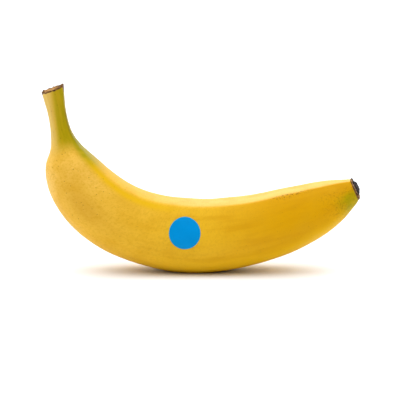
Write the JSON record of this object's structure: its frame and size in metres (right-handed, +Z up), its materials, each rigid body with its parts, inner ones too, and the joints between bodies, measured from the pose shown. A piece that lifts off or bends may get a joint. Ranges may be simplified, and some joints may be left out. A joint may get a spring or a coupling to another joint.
{
  "type": "banana",
  "caption": "Ripe curved banana with a ridged peel, a cut stem and dried flower remains at its tip, resting on the outside of its bend, with a plain round label on one side.",
  "frame": {"origin": "on the surface that the fruit rests on, under the middle of its box", "axes": "+Z up, +X from the stem to the blossom end, +Y across the bend, away from the label"},
  "size_m": [0.1708, 0.0396, 0.101],
  "materials": {
    "peel": "satin",
    "label": "satin"
  },
  "bodies": {
    "root": {"banana": "peel", "label": "label"}
  },
  "joints": []
}
